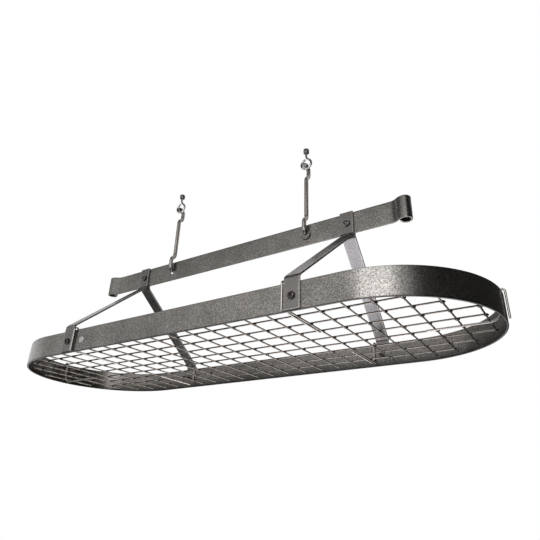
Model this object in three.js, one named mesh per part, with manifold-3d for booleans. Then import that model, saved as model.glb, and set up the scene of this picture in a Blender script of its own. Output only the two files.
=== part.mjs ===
// A hanging pot rack: an oval band of flat steel bar with a loose wire shelf inside it, carried by four
// bent straps from a flat centre bar that hangs on two double-hooked rods from two ceiling eyes.
// Millimetres, +Z up. X runs along the rack and -Y is its front. Heights are measured from the band's
// lower edge and the finished rack is then lowered, so that the origin lies on the ceiling, midway
// between the two eyes.
import * as THREE from "three";
import { mergeVertices } from "three/addons/utils/BufferGeometryUtils.js";
import Module from "manifold-3d";

// Fits shared by all pieces
const seatGap = 0.3; // between faces that rest on each other
const edgeEase = 0.5; // chamfer along the edges of the flat bar
const boltHoleClearance = 0.4; // hole radius over bolt radius

// The oval band
const bandLength = 1440;
const bandWidth = 508;
const bandHeight = 63.5;
const bandThickness = 4.8;

// The centre bar, which ends in rolled scrolls
const barHeight = 63.5;
const barThickness = 4.8;
const barBottom = 293;
const scrollRadius = 13.6; // of the bar's mid-line
const scrollX = 536;
const scrollLeadIn = 38; // length over which the bar swings out to the scroll
const scrollTurn = 285; // degrees that the scroll turns through
const hangHoleRadius = 9.5;
const hangHoleX = 252;

// The straps between the band and the bar
const strapWidth = 38.1;
const strapThickness = 4.8;
const strapFootX = 359;
const strapHeadX = 377.4;
const strapFootBottom = 2.5;
const strapHeadRise = 2.4; // above the bar's top edge
const strapFootBendRise = 12.5; // from the band's upper edge to where the foot meets the slope
const strapHeadBendDrop = 6; // from the bar's lower edge to where the slope meets the head
const strapBendRadius = 13; // of the mid-line

// Bolts and nuts
const boltRadius = 4.75;
const boltHeadRadius = 8.75;
const boltHeadHeight = 5;
const boltHeadRim = 0.75; // height of the upright edge below the dome
const boltCrownRadius = 4.5; // flat on top of the dome, around the socket
const boltSocketAcross = 6;
const boltSocketDepth = 3;
const boltEndPastNut = 2;
const boltEndChamfer = 1;
const nutAcross = 14.3;
const nutHeight = 8.4;
const nutCornerTurn = 0.6; // drop of the turned corners, as a share of how far they stand out

// The bright stud on the front of the band
const studPastStrap = 25.35; // from the left strap's edge to the stud's head
const studHeadRadius = 9.8;
const studHeadHeight = 2; // of its low crown
const studHeadRim = 0.6; // height of the upright edge below the crown
const studShankRadius = 3;
const studTailRadius = 5;
const studTailHeight = 2;

// The welded wire shelf
const meshPitch = 57.15;
const meshWireRadius = 2;
const meshWireSides = 6;
const weldSink = 0.3; // depth to which the crossing wires are fused
const shelfEdgeGap = 10; // between the wires' ends and the band
const shelfEndInset = 15; // least distance from the shelf's outline to a wire that runs along it

// The wire clips that hang on the band and carry the shelf
const clipWireRadius = 2.4;
const clipWireSides = 8;
const clipTopRadius = 6.5; // of the wire's mid-line over the band's edge
const clipFootRadius = 25;
const clipReach = 158; // of the finger, from the clip's inner leg
const clipFingerHeight = 1.5; // of the end clips' wire, over the band's lower edge
const clipTopDrop = 1; // from the band's edge down to the centre of the bend over it
const clipTailBottom = 3;
const clipPastStrap = 1.55; // from a strap's edge to the side clip beside it

// The hanger rods
const rodRadius = 6.35;
const rodSides = 12;
const rodHookRadius = 14; // of the mid-line
const rodHookTurn = 150; // degrees
const rodJogTurn = 53; // degrees that each side step leans over
const rodLowerEase = 19; // upright run between a hook and its side step
const rodUpperEase = 12.5;

// The ceiling eyes
const eyeWireRadius = 3.5;
const eyeWireSides = 12;
const eyeLoopRadius = 16.5; // of the mid-line
const eyeLoopHeight = 571; // of the loop's centre
const eyeShoulderAngle = 58; // above level, where the neck runs into the loop
const eyeTailAngle = 100; // from the right, where the loop ends beside the neck
const neckRise = 36; // from the loop's centre up to the collar
const collarRadius = 8.8;
const collarHeight = 17.4;
const collarTaper = 4.5;
const collarRound = 1.6;

// Places that follow from the sizes above
const neckTop = eyeLoopHeight + neckRise;
const ceilingHeight = neckTop + collarHeight;
const barMiddle = barBottom + barHeight / 2;
const barTop = barBottom + barHeight;
const bandOuterY = bandWidth / 2;
const bandInnerY = bandOuterY - bandThickness;
const bandStraight = (bandLength - bandWidth) / 2;
const strapFootY = bandOuterY + seatGap + strapThickness / 2;
const strapHeadY = barThickness / 2 + seatGap + strapThickness / 2;
const strapFootBend = bandHeight + strapFootBendRise;
const strapHeadBend = barBottom - strapHeadBendDrop;
const strapInnerEdge = strapFootX - strapWidth / 2;
const sideClipX = strapInnerEdge - clipPastStrap - clipWireRadius;
const studX = -(strapInnerEdge - studPastStrap - studHeadRadius);
const strapOuterY = strapFootY + strapThickness / 2;
const strapHeadOuterY = strapHeadY + strapThickness / 2;
const shelfHalfLength = bandLength / 2 - bandThickness - shelfEdgeGap;
const shelfHalfWidth = bandInnerY - shelfEdgeGap;
const crossWiresPerSide = Math.floor((shelfHalfLength - shelfEndInset) / meshPitch);
const longWiresPerSide = Math.floor((shelfHalfWidth - shelfEndInset) / meshPitch + 0.5);
const crossWireHeight = clipFingerHeight + clipWireRadius + seatGap + meshWireRadius;
const longWireHeight = crossWireHeight + 2 * meshWireRadius - weldSink;
const sideFingerHeight = longWireHeight - meshWireRadius - seatGap - clipWireRadius;

// How finely the curves are faceted
const bandArcSteps = 24;
const bandLongestFacet = 320;
const boltHoleSides = 16;
const hangHoleSides = 32;
const scrollSteps = 16;
const swingSteps = 4;
const strapBendSteps = 5;
const boltSides = 18;
const domeSteps = 3;
const studSides = 20;
const studCrownSteps = 4;
const nutBoreSides = 12;
const clipTopSteps = 8;
const clipFootSteps = 6;
const rodHookSteps = 10;
const rodJogSteps = 3;
const neckSteps = 5;
const eyeLoopSteps = 24;
const collarSides = 20;

const wasm = await Module();
wasm.setup();

// ---------- Shared tools ----------

const degrees = (angle) => (angle * Math.PI) / 180;

function toSolid(geometry) {
  const bare = geometry.clone();
  bare.deleteAttribute("normal");
  bare.deleteAttribute("uv");
  const merged = mergeVertices(bare, 1e-4);
  return new wasm.Manifold(
    new wasm.Mesh({
      numProp: 3,
      vertProperties: new Float32Array(merged.attributes.position.array),
      triVerts: new Uint32Array(merged.index.array),
    }),
  );
}

function toGeometry(solid) {
  const mesh = solid.getMesh();
  const geometry = new THREE.BufferGeometry();
  geometry.setAttribute("position", new THREE.BufferAttribute(mesh.vertProperties, 3));
  geometry.setIndex(new THREE.BufferAttribute(mesh.triVerts, 1));
  geometry.computeVertexNormals();
  return geometry;
}

function drill(geometry, cutters) {
  return cutters.reduce((left, cutter) => left.subtract(toSolid(cutter)), toSolid(geometry));
}

// A round bar along Y, centred on (x, y, z).
function crossPin(radius, length, x, y, z, sides) {
  return new THREE.CylinderGeometry(radius, radius, length, sides).translate(x, y, z);
}

// Extrudes a plane outline by a depth with eased edges and centres it on that depth.
function easedPlate(shape, depth, curveSegments) {
  const geometry = new THREE.ExtrudeGeometry(shape, {
    depth: depth - 2 * edgeEase,
    bevelThickness: edgeEase,
    bevelSize: edgeEase,
    bevelOffset: -edgeEase,
    bevelSegments: 1,
    curveSegments,
  });
  return geometry.translate(0, 0, edgeEase - depth / 2);
}

// The outline of a strip of even thickness along a mid-line given as points with unit directions.
function stripOutline(stations, thickness) {
  const half = thickness / 2;
  const left = stations.map(({ x, y, dx, dy }) => new THREE.Vector2(x - dy * half, y + dx * half));
  const right = stations.map(({ x, y, dx, dy }) => new THREE.Vector2(x + dy * half, y - dx * half));
  return new THREE.Shape([...right, ...left.reverse()]);
}

// Walks a mid-line in a plane: straight runs and arcs joined end to end. Each leg is { run } or
// { radius, turn, steps }, where a positive turn bears left.
function walk(x, y, heading, legs) {
  const stations = [];
  const mark = () => stations.push({ x, y, dx: Math.cos(heading), dy: Math.sin(heading) });
  mark();
  for (const leg of legs) {
    if (leg.run !== undefined) {
      x += leg.run * Math.cos(heading);
      y += leg.run * Math.sin(heading);
      mark();
      continue;
    }
    const side = Math.sign(leg.turn);
    const step = degrees(leg.turn) / leg.steps;
    const centreX = x - side * leg.radius * Math.sin(heading);
    const centreY = y + side * leg.radius * Math.cos(heading);
    for (let i = 0; i < leg.steps; i++) {
      heading += step;
      x = centreX + side * leg.radius * Math.sin(heading);
      y = centreY - side * leg.radius * Math.cos(heading);
      mark();
    }
  }
  return stations;
}

// A curve through stations of a plane walk, laid into space by a function. Its parameter steps from
// station to station, so straight runs cost one step only.
class StationCurve extends THREE.Curve {
  constructor(stations, place) {
    super();
    this.points = stations.map(({ x, y }) => place(x, y));
    this.tangents = stations.map(({ x, y, dx, dy }) => place(x + dx, y + dy).sub(place(x, y)).normalize());
  }
  getUtoTmapping(u) {
    return u;
  }
  blend(list, t) {
    const place = t * (list.length - 1);
    const index = Math.min(Math.floor(place + 1e-9), list.length - 2);
    return list[index].clone().lerp(list[index + 1], Math.max(0, place - index));
  }
  getPoint(t) {
    return this.blend(this.points, t);
  }
  getTangent(t) {
    return this.blend(this.tangents, t).normalize();
  }
}

// A round wire along the stations, as a polygon section with a corner towards the plane's sides.
function wire(stations, place, radius, sides) {
  const section = new THREE.Shape(
    Array.from({ length: sides }, (_, i) => {
      const angle = (2 * Math.PI * i) / sides;
      return new THREE.Vector2(radius * Math.cos(angle), radius * Math.sin(angle));
    }),
  );
  return new THREE.ExtrudeGeometry(section, {
    steps: stations.length - 1,
    extrudePath: new StationCurve(stations, place),
  });
}

// ---------- Materials ----------

function steel(color, roughness, metalness = 0.85) {
  return new THREE.MeshStandardMaterial({ color, roughness, metalness });
}
const hammeredSteel = () => steel(0x6c6a67, 0.5);
const strapSteel = () => steel(0x75706d, 0.42);
const blackBolt = () => steel(0x17171a, 0.35);
const shelfSteel = () => steel(0x57504a, 0.45);
const brightWire = () => steel(0xc4c4c2, 0.25);
const rodSteel = () => steel(0x807b75, 0.35);

const rack = new THREE.Group();
rack.position.z = -ceilingHeight;

function add(name, geometry, material) {
  const mesh = new THREE.Mesh(geometry, material);
  mesh.name = name;
  rack.add(mesh);
  return mesh;
}

// ---------- The oval band ----------

function ovalPath(path, inset) {
  const radius = bandWidth / 2 - inset;
  path.moveTo(-bandStraight, -radius);
  path.lineTo(bandStraight, -radius);
  path.absarc(bandStraight, 0, radius, -Math.PI / 2, Math.PI / 2, false);
  path.lineTo(-bandStraight, radius);
  path.absarc(-bandStraight, 0, radius, Math.PI / 2, (3 * Math.PI) / 2, false);
  return path;
}

function band() {
  const outline = ovalPath(new THREE.Shape(), 0);
  outline.holes.push(ovalPath(new THREE.Path(), bandThickness));
  const plate = easedPlate(outline, bandHeight, bandArcSteps).translate(0, 0, bandHeight / 2);
  const hole = (radius, x, y) => crossPin(radius, 3 * bandThickness, x, y, bandHeight / 2, boltHoleSides);
  const holes = [hole(studShankRadius + seatGap, studX, -bandOuterY)];
  for (const x of [-strapFootX, strapFootX]) {
    for (const y of [-bandOuterY, bandOuterY]) {
      holes.push(hole(boltRadius + boltHoleClearance, x, y));
    }
  }
  // The long facets are divided, so that the edge between the clips has faces of its own.
  return toGeometry(drill(plate, holes).refineToLength(bandLongestFacet));
}

// ---------- The centre bar ----------

// One half of the bar's mid-line in plan, from the middle to the inside of the scroll. The end swings
// to the front by the scroll's radius and then rolls forwards, outwards and back round.
function barHalf() {
  const swing = Math.atan2(scrollRadius, scrollLeadIn) * 2;
  const bendRadius = scrollLeadIn / 2 / Math.sin(swing);
  const turn = THREE.MathUtils.radToDeg(swing);
  return walk(0, 0, 0, [
    { run: scrollX - scrollLeadIn },
    { radius: bendRadius, turn: -turn, steps: swingSteps },
    { radius: bendRadius, turn, steps: swingSteps },
    { radius: scrollRadius, turn: scrollTurn, steps: scrollSteps },
  ]);
}

function centreBar() {
  const right = barHalf().slice(1);
  const mirrored = right.map(({ x, y, dx, dy }) => ({ x: -x, y, dx, dy: -dy })).reverse();
  const plate = easedPlate(stripOutline([...mirrored, ...right], barThickness), barHeight, 1);
  plate.translate(0, 0, barMiddle);
  const hole = (radius, x, sides) => crossPin(radius, 3 * barThickness, x, 0, barMiddle, sides);
  const holes = [];
  for (const side of [-1, 1]) {
    holes.push(hole(hangHoleRadius, side * hangHoleX, hangHoleSides));
    holes.push(hole(boltRadius + boltHoleClearance, side * strapHeadX, boltHoleSides));
  }
  return toGeometry(drill(plate, holes));
}

// ---------- The straps ----------

// The strap's mid-line from the side, as distance from the centre plane against height.
function strapLine() {
  const slope = Math.atan2(strapHeadBend - strapFootBend, strapFootY - strapHeadY);
  const bend = THREE.MathUtils.radToDeg(Math.PI / 2 - slope);
  const setback = strapBendRadius * Math.tan(degrees(bend) / 2);
  const slopeLength = Math.hypot(strapHeadBend - strapFootBend, strapFootY - strapHeadY);
  return walk(strapFootY, strapFootBottom, Math.PI / 2, [
    { run: strapFootBend - strapFootBottom - setback },
    { radius: strapBendRadius, turn: bend, steps: strapBendSteps },
    { run: slopeLength - 2 * setback },
    { radius: strapBendRadius, turn: -bend, steps: strapBendSteps },
    { run: barTop + strapHeadRise - strapHeadBend - setback },
  ]);
}

function strap(side, face) {
  const geometry = easedPlate(stripOutline(strapLine(), strapThickness), strapWidth, 1);
  // Stand the outline up: its x becomes the distance to the front or back, its y the height.
  geometry.applyMatrix4(
    new THREE.Matrix4().makeBasis(
      new THREE.Vector3(0, face, 0),
      new THREE.Vector3(0, 0, 1),
      new THREE.Vector3(face, 0, 0),
    ),
  );
  // The slope leans outwards along the rack between its two bends.
  const position = geometry.attributes.position;
  for (let i = 0; i < position.count; i++) {
    const climb = (position.getZ(i) - strapFootBend) / (strapHeadBend - strapFootBend);
    const lean = THREE.MathUtils.clamp(climb, 0, 1) * (strapHeadX - strapFootX);
    position.setX(i, position.getX(i) + side * (strapFootX + lean));
  }
  const hole = (x, y, z) => {
    return crossPin(boltRadius + boltHoleClearance, 3 * strapThickness, side * x, face * y, z, boltHoleSides);
  };
  const holes = [hole(strapFootX, strapFootY, bandHeight / 2), hole(strapHeadX, strapHeadY, barMiddle)];
  return toGeometry(drill(geometry, holes));
}

// ---------- Bolts, nuts and the stud ----------

// A button-head bolt along +Y from its head's seat at the origin, with a hexagon socket in the head.
function buttonBolt(gripLength) {
  const end = gripLength + nutHeight + boltEndPastNut;
  const domeHeight = boltHeadHeight - boltHeadRim;
  const profile = [new THREE.Vector2(0, -boltHeadHeight)];
  for (let i = 0; i <= domeSteps; i++) {
    const angle = (Math.PI / 2) * (i / domeSteps);
    const radius = THREE.MathUtils.lerp(boltCrownRadius, boltHeadRadius, Math.sin(angle));
    profile.push(new THREE.Vector2(radius, -boltHeadRim - domeHeight * Math.cos(angle)));
  }
  profile.push(new THREE.Vector2(boltHeadRadius, 0));
  profile.push(new THREE.Vector2(boltRadius, 0));
  profile.push(new THREE.Vector2(boltRadius, end - boltEndChamfer));
  profile.push(new THREE.Vector2(boltRadius - boltEndChamfer, end));
  profile.push(new THREE.Vector2(0, end));
  const body = new THREE.LatheGeometry(profile, boltSides);
  const socketRadius = boltSocketAcross / Math.sqrt(3);
  const socket = crossPin(socketRadius, 2 * boltSocketDepth, 0, -boltHeadHeight, 0, 6);
  return toGeometry(drill(body, [socket]));
}

// A hexagon nut along +Y from its seat at the origin, with its corners turned down.
function hexNut() {
  const corner = nutAcross / Math.sqrt(3);
  const blank = new THREE.CylinderGeometry(corner, corner, nutHeight, 6).translate(0, nutHeight / 2, 0);
  const chamfer = (corner - nutAcross / 2) * nutCornerTurn;
  const clear = corner + seatGap;
  const turned = new THREE.LatheGeometry(
    [
      new THREE.Vector2(0, 0),
      new THREE.Vector2(nutAcross / 2, 0),
      new THREE.Vector2(clear, chamfer),
      new THREE.Vector2(clear, nutHeight - chamfer),
      new THREE.Vector2(nutAcross / 2, nutHeight),
      new THREE.Vector2(0, nutHeight),
    ],
    boltSides,
  );
  const bore = crossPin(boltRadius + seatGap, 3 * nutHeight, 0, 0, 0, nutBoreSides);
  return toGeometry(toSolid(blank).intersect(toSolid(turned)).subtract(toSolid(bore)));
}

// Sets a fastener on a face that looks to the front (-1) or the back (+1).
function seated(geometry, x, y, z, drive) {
  const turn = drive > 0 ? 0 : Math.PI;
  return geometry.rotateZ(turn).translate(x, y, z);
}

function bandFasteners() {
  const grip = strapThickness + bandThickness + 3 * seatGap;
  for (const [faceName, face] of [["front", -1], ["back", 1]]) {
    for (const [sideName, side] of [["left", -1], ["right", 1]]) {
      const x = side * strapFootX;
      const z = bandHeight / 2;
      const boltSeat = face * (strapOuterY + seatGap);
      const nutSeat = face * (bandInnerY - seatGap);
      const name = faceName + "_" + sideName;
      add("band_bolt_" + name, seated(buttonBolt(grip), x, boltSeat, z, -face), blackBolt());
      add("band_nut_" + name, seated(hexNut(), x, nutSeat, z, -face), blackBolt());
    }
  }
}

function barFasteners() {
  const grip = 2 * strapHeadOuterY + 2 * seatGap;
  for (const [sideName, side] of [["left", -1], ["right", 1]]) {
    const x = side * strapHeadX;
    const seat = strapHeadOuterY + seatGap;
    add("bar_bolt_" + sideName, seated(buttonBolt(grip), x, -seat, barMiddle, 1), blackBolt());
    add("bar_nut_" + sideName, seated(hexNut(), x, seat, barMiddle, 1), blackBolt());
  }
}

function stud() {
  const head = bandOuterY + seatGap;
  const tail = bandInnerY - seatGap;
  const profile = [];
  for (let i = 0; i <= studCrownSteps; i++) {
    const angle = (Math.PI / 2) * (i / studCrownSteps);
    const rise = studHeadHeight * Math.cos(angle);
    profile.push(new THREE.Vector2(studHeadRadius * Math.sin(angle), -head - studHeadRim - rise));
  }
  profile.push(new THREE.Vector2(studHeadRadius, -head));
  profile.push(new THREE.Vector2(studShankRadius, -head));
  profile.push(new THREE.Vector2(studShankRadius, -tail));
  profile.push(new THREE.Vector2(studTailRadius, -tail));
  profile.push(new THREE.Vector2(studShankRadius, -tail + studTailHeight));
  profile.push(new THREE.Vector2(0, -tail + studTailHeight));
  return new THREE.LatheGeometry(profile, studSides).translate(studX, 0, bandHeight / 2);
}

// ---------- The wire shelf ----------

// How far a wire that runs at a given distance along the rack may reach to the front and back
// before it comes within the edge gap of the band.
function crossReach(x) {
  const pastStraight = Math.max(0, Math.abs(x) - bandStraight);
  return Math.sqrt(shelfHalfWidth ** 2 - pastStraight ** 2);
}

function meshWire(length) {
  return new THREE.CylinderGeometry(meshWireRadius, meshWireRadius, length, meshWireSides);
}

function wireShelf() {
  let shelf = null;
  const weld = (geometry) => {
    const solid = toSolid(geometry);
    shelf = shelf ? shelf.add(solid) : solid;
  };
  for (let k = -crossWiresPerSide; k <= crossWiresPerSide; k++) {
    weld(meshWire(2 * crossReach(k * meshPitch)).translate(k * meshPitch, 0, crossWireHeight));
  }
  for (let row = 0; row < 2 * longWiresPerSide; row++) {
    const y = (row - longWiresPerSide + 0.5) * meshPitch;
    weld(meshWire(longWireLength(y)).rotateZ(Math.PI / 2).translate(0, y, longWireHeight));
  }
  return toGeometry(shelf);
}

// A long wire ends just past the last cross wire that reaches out to it.
function longWireLength(y) {
  let last = crossWiresPerSide;
  while (crossReach(last * meshPitch) < Math.abs(y) + 2 * meshWireRadius) last--;
  return 2 * (last * meshPitch + meshWireRadius);
}

// ---------- The clips ----------

// The clip's mid-line seen from the side: distance inwards from the band's outer face against height.
// It rises outside the band, turns over its edge, drops along the inner face and runs inwards.
function clipLine(fingerZ) {
  const innerLeg = bandThickness + seatGap + clipWireRadius;
  const outerLeg = innerLeg - 2 * clipTopRadius;
  const topCentre = bandHeight - clipTopDrop;
  return walk(outerLeg, clipTailBottom, Math.PI / 2, [
    { run: topCentre - clipTailBottom },
    { radius: clipTopRadius, turn: -180, steps: clipTopSteps },
    { run: topCentre - fingerZ - clipFootRadius },
    { radius: clipFootRadius, turn: 90, steps: clipFootSteps },
    { run: clipReach - clipFootRadius },
  ]);
}

function clip(fingerZ, place) {
  return wire(clipLine(fingerZ), place, clipWireRadius, clipWireSides);
}

function clips() {
  for (const [faceName, face] of [["front", -1], ["back", 1]]) {
    for (const [sideName, side] of [["left", -1], ["right", 1]]) {
      const place = (u, z) => new THREE.Vector3(side * sideClipX, face * (bandOuterY - u), z);
      add("clip_" + faceName + "_" + sideName, clip(sideFingerHeight, place), brightWire());
    }
  }
  for (const [sideName, side] of [["left", -1], ["right", 1]]) {
    const place = (u, z) => new THREE.Vector3(side * (bandLength / 2 - u), 0, z);
    add("clip_end_" + sideName, clip(clipFingerHeight, place), brightWire());
  }
}

// ---------- The hanger rods ----------

// Heights of the two hooks' centres: the upper hook's underside rests on the eye's wire, and the
// lower hook carries the top of the bar's hole at the bar's two faces.
function hookHeights() {
  const inner = rodHookRadius - rodRadius;
  const eyeWireTop = eyeLoopHeight - eyeLoopRadius + eyeWireRadius;
  const upper = eyeWireTop + seatGap - inner;
  const holeTop = barMiddle + hangHoleRadius;
  const lower = holeTop - seatGap + Math.sqrt(inner ** 2 - (barThickness / 2) ** 2);
  return { upper, lower };
}

// The rod's mid-line from the side: distance to the back against height. It starts at the tip of the
// lower hook behind the bar, runs under the hole's top to the front, steps back to the middle, rises,
// steps to the back and turns forwards over the eye.
function rodLine() {
  const { upper, lower } = hookHeights();
  const start = degrees(rodHookTurn - 180);
  const jogRadius = rodHookRadius / 2 / (1 - Math.cos(degrees(rodJogTurn)));
  const jogRise = 2 * jogRadius * Math.sin(degrees(rodJogTurn));
  const straight = upper - lower - rodLowerEase - rodUpperEase - 2 * jogRise;
  const jog = [
    { radius: jogRadius, turn: -rodJogTurn, steps: rodJogSteps },
    { radius: jogRadius, turn: rodJogTurn, steps: rodJogSteps },
  ];
  return walk(
    rodHookRadius * Math.cos(start),
    lower + rodHookRadius * Math.sin(start),
    start - Math.PI / 2,
    [
      { radius: rodHookRadius, turn: -rodHookTurn, steps: rodHookSteps },
      { run: rodLowerEase },
      ...jog,
      { run: straight },
      ...jog,
      { run: rodUpperEase },
      { radius: rodHookRadius, turn: rodHookTurn, steps: rodHookSteps },
    ],
  );
}

function hangerRods() {
  for (const [sideName, side] of [["left", -1], ["right", 1]]) {
    const place = (y, z) => new THREE.Vector3(side * hangHoleX, y, z);
    add("hanger_rod_" + sideName, wire(rodLine(), place, rodRadius, rodSides), rodSteel());
  }
}

// ---------- The ceiling eyes ----------

// The eye's mid-line from the front: distance to the right against height. The neck comes straight
// down out of the collar, curves into the loop's shoulder, and the loop closes back beside it.
function eyeLine() {
  const shoulder = degrees(eyeShoulderAngle);
  const neckRadius = (eyeLoopRadius * Math.cos(shoulder)) / (1 - Math.cos(shoulder));
  const neckBottom = eyeLoopHeight + (eyeLoopRadius + neckRadius) * Math.sin(shoulder);
  const neckStart = neckTop + collarHeight / 2;
  return walk(0, neckStart, -Math.PI / 2, [
    { run: neckStart - neckBottom },
    { radius: neckRadius, turn: eyeShoulderAngle, steps: neckSteps },
    { radius: eyeLoopRadius, turn: eyeTailAngle - eyeShoulderAngle - 360, steps: eyeLoopSteps },
  ]);
}

function collar() {
  const neck = eyeWireRadius + seatGap;
  const profile = [
    new THREE.Vector2(0, neckTop),
    new THREE.Vector2(neck, neckTop),
    new THREE.Vector2(collarRadius, neckTop + collarTaper),
    new THREE.Vector2(collarRadius, ceilingHeight - collarRound),
    new THREE.Vector2(collarRadius - collarRound, ceilingHeight),
    new THREE.Vector2(0, ceilingHeight),
  ];
  return new THREE.LatheGeometry(profile, collarSides).rotateX(Math.PI / 2);
}

function ceilingEyes() {
  for (const [sideName, side] of [["left", -1], ["right", 1]]) {
    const place = (x, z) => new THREE.Vector3(x, 0, z);
    const loop = wire(eyeLine(), place, eyeWireRadius, eyeWireSides);
    const eye = toGeometry(toSolid(loop).add(toSolid(collar())));
    add("ceiling_eye_" + sideName, eye.translate(side * hangHoleX, 0, 0), brightWire());
  }
}

// ---------- Assembly ----------

add("rim_band", band(), hammeredSteel());
add("centre_bar", centreBar(), hammeredSteel());
for (const [faceName, face] of [["front", -1], ["back", 1]]) {
  for (const [sideName, side] of [["left", -1], ["right", 1]]) {
    add("strap_" + faceName + "_" + sideName, strap(side, face), strapSteel());
  }
}
bandFasteners();
barFasteners();
add("band_stud", stud(), brightWire());
add("wire_shelf", wireShelf(), shelfSteel());
clips();
hangerRods();
ceilingEyes();

export default rack;
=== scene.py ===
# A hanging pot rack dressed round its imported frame: an oval band of hammered flat steel with a wire
# shelf in it, bent straps, a centre bar with scrolled ends, and two hooked rods from two ceiling eyes.
# Metres, +Z up, the ceiling at height 0. The sizes below are in millimetres, and heights are taken from
# the band's lower edge.
import math
import bmesh
import bpy
import numpy as np
from mathutils import Matrix, Vector


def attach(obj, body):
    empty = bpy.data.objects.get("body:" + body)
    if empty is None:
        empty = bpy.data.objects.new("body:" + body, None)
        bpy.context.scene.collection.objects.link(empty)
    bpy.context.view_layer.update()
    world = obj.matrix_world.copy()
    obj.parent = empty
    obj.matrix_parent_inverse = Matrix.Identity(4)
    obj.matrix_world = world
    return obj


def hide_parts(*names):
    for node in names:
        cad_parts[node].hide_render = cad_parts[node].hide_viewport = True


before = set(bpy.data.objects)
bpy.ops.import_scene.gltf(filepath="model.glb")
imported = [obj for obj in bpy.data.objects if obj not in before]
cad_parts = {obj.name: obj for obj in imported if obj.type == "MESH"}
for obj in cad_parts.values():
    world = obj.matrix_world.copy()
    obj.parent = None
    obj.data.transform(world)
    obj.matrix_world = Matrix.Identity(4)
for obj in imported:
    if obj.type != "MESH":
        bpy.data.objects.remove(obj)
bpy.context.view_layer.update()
ceilingHeight = 624.4
print("frame loaded")


# The camera stands below the rack, to its right, and looks up at it as in the photograph.
viewing = {
    "place": (0.8321, -1.0557, -0.9655), "yaw": -0.58024, "pitch": 0.44897, "roll": 0.03228,
    "lens": 32.564, "sensor": 36.0, "shiftX": -0.0040, "shiftY": -0.0142,
}


def addObject(name, data):
    made = bpy.data.objects.new(name, data)
    bpy.context.scene.collection.objects.link(made)
    return made


def makeCamera(v):
    level = math.cos(v["pitch"])
    forward = Vector((math.sin(v["yaw"]) * level, math.cos(v["yaw"]) * level, math.sin(v["pitch"])))
    sideways = Vector((math.cos(v["yaw"]), -math.sin(v["yaw"]), 0))
    upright = sideways.cross(forward)
    right = math.cos(v["roll"]) * sideways + math.sin(v["roll"]) * upright
    up = math.cos(v["roll"]) * upright - math.sin(v["roll"]) * sideways
    data = bpy.data.cameras.new("photoCamera")
    data.lens, data.sensor_width, data.sensor_fit = v["lens"], v["sensor"], "HORIZONTAL"
    data.shift_x, data.shift_y = v["shiftX"], v["shiftY"]
    data.clip_start, data.clip_end = 0.05, 50
    camera = addObject("photoCamera", data)
    turn = Matrix((right, up, -forward)).transposed().to_4x4()
    camera.matrix_world = Matrix.Translation(v["place"]) @ turn
    bpy.context.scene.camera = camera


makeCamera(viewing)

# A small key above the camera, a broad one overhead, and two that shine up from the floor.
lamps = {
    "keyFront": {"place": (0.65, -1.0, -0.26), "size": (0.58, 0.58), "watts": 2.9,
                 "tint": (0.985, 0.99, 1.02)},
    "overhead": {"place": (-0.3, 0.2, 1.9), "size": (2.4, 1.6), "watts": 12, "tint": (1.0, 1.0, 1.0)},
    "under": {"place": (-0.15, 1.8, -1.77), "size": (2.2, 2.9), "watts": 38, "tint": (1.0, 0.985, 0.975)},
    "underNear": {"place": (-0.12, -0.46, -1.74), "size": (0.95, 0.88), "watts": 7.4,
                  "tint": (0.95, 0.96, 1.10)},
}
aim = Vector((0.0, 0.0, -0.5))


def makeLamp(name, s):
    data = bpy.data.lights.new(name, "AREA")
    data.shape, data.size, data.size_y = "RECTANGLE", *s["size"]
    data.energy, data.color = s["watts"], s["tint"]
    lamp = addObject(name, data)
    lamp.location = s["place"]
    towards = Vector((0, 0, 1)) if name.startswith("under") else aim - lamp.location
    lamp.rotation_euler = towards.to_track_quat("-Z", "Y").to_euler()
    lamp.visible_camera = False


for lampName, lampSettings in lamps.items():
    makeLamp(lampName, lampSettings)


def addNode(tree, kind, **settings):
    node = tree.nodes.new("ShaderNode" + kind)
    for key, value in settings.items():
        if hasattr(node, key):
            setattr(node, key, value)
        else:
            node.inputs[key].default_value = value
    return node


def mathNode(tree, operation, a, b):
    node = addNode(tree, "Math", operation=operation)
    for k, value in enumerate((a, b)):
        if isinstance(value, (int, float)):
            node.inputs[k].default_value = value
        else:
            tree.links.new(value, node.inputs[k])
    return node.outputs[0]


# 1 for the rays that show a thing, to the eye, in a mirror or through glass, and 0 for those that light.
def shownRays(tree):
    path = addNode(tree, "LightPath").outputs
    seen = mathNode(tree, "MAXIMUM", path["Is Camera Ray"], path["Is Glossy Ray"])
    return mathNode(tree, "MAXIMUM", seen, path["Is Transmission Ray"])


# The world shows white and lights less than it shows.
def makeWorld(lightStrength):
    world = bpy.data.worlds.new("studio")
    bpy.context.scene.world = world
    world.use_nodes = True
    tree = world.node_tree
    tree.nodes.clear()
    lit = addNode(tree, "Background", Color=(1, 1, 1, 1), Strength=lightStrength)
    white = addNode(tree, "Background", Color=(1, 1, 1, 1), Strength=1.0)
    mix = addNode(tree, "MixShader")
    tree.links.new(shownRays(tree), mix.inputs["Fac"])
    tree.links.new(lit.outputs[0], mix.inputs[1])
    tree.links.new(white.outputs[0], mix.inputs[2])
    tree.links.new(mix.outputs[0], addNode(tree, "OutputWorld").inputs["Surface"])


makeWorld(0.5)
bpy.context.scene.view_settings.view_transform = "Standard"
print("camera, lamps and world made")


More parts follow.
